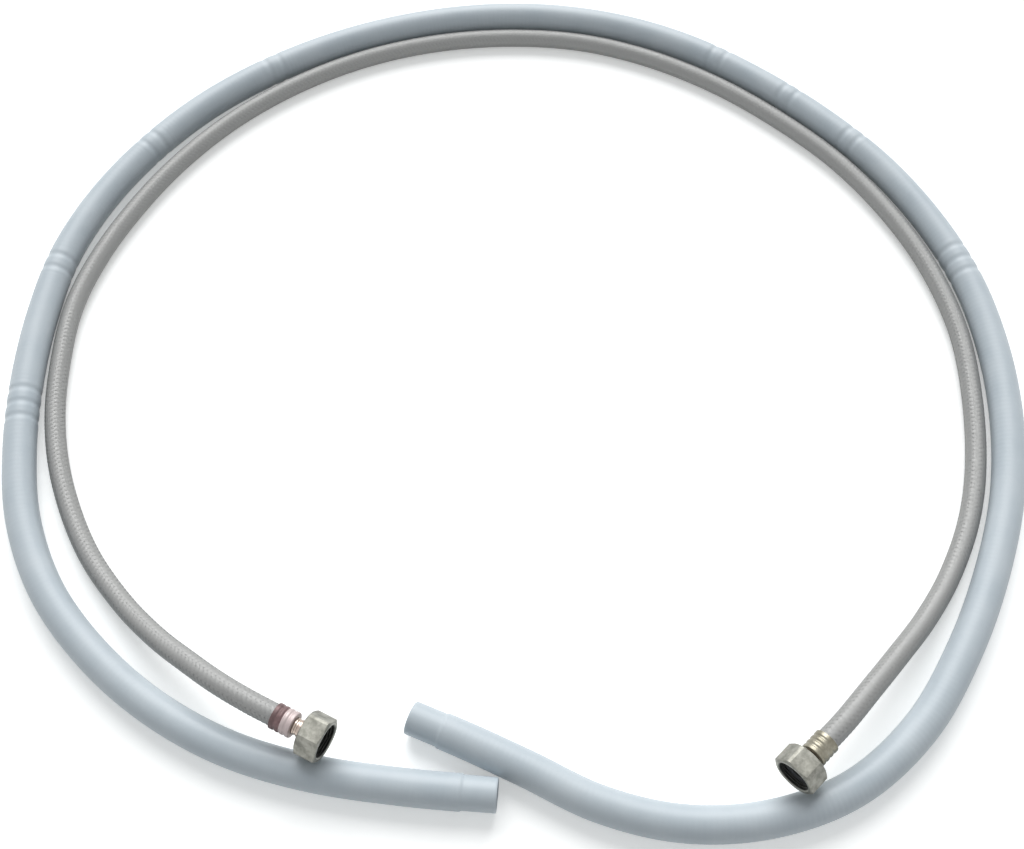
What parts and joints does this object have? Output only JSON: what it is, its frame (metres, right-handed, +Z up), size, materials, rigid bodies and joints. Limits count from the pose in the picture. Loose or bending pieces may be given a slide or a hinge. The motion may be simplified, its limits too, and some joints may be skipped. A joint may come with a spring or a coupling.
{
  "type": "dishwasher extension hose",
  "caption": "Dishwasher extension hoses laid in one loop: a fat plastic drain hose beside a steel-braided supply hose with swivel nuts at its ends.",
  "frame": {"origin": "middle of the loop's outline, on the floor that the hoses lie on", "axes": "+Z up; +Y towards the closed side of the loop, away from the hose ends; +X to the right as seen from above with +Y away from the viewer"},
  "size_m": [0.8227, 0.8012, 0.053],
  "materials": {
    "drain_plastic": "smooth light blue-grey plastic with a soft sheen",
    "liner_rubber": "black rubber",
    "steel_braid": "woven bright steel wire",
    "red_ferrule": "reddish-brown satin sleeve",
    "steel_ferrule": "dull warm grey metal sleeve",
    "tail_metal": "pale turned brass",
    "washer_rubber": "black rubber",
    "nut_metal": "dull nickel plate over brass"
  },
  "bodies": {
    "hoses": {"drain_hose": "drain_plastic", "supply_liner": "liner_rubber", "supply_braid": "steel_braid", "ferrule_left": "red_ferrule", "tail_left": "tail_metal", "washer_left": "washer_rubber", "ferrule_right": "steel_ferrule", "tail_right": "tail_metal", "washer_right": "washer_rubber"},
    "left_nut": {"nut_left": "nut_metal"},
    "right_nut": {"nut_right": "nut_metal"}
  },
  "joints": [
    {"name": "left_nut_spin", "type": "hinge", "parent": "hoses", "child": "left_nut", "pos_m": [-0.1506, -0.3276, 0.03796], "axis": [0.891, -0.454, 0], "continuous": true},
    {"name": "right_nut_spin", "type": "hinge", "parent": "hoses", "child": "right_nut", "pos_m": [0.2038, -0.3485, 0.03655], "axis": [-0.7193, -0.6947, 0], "continuous": true}
  ]
}
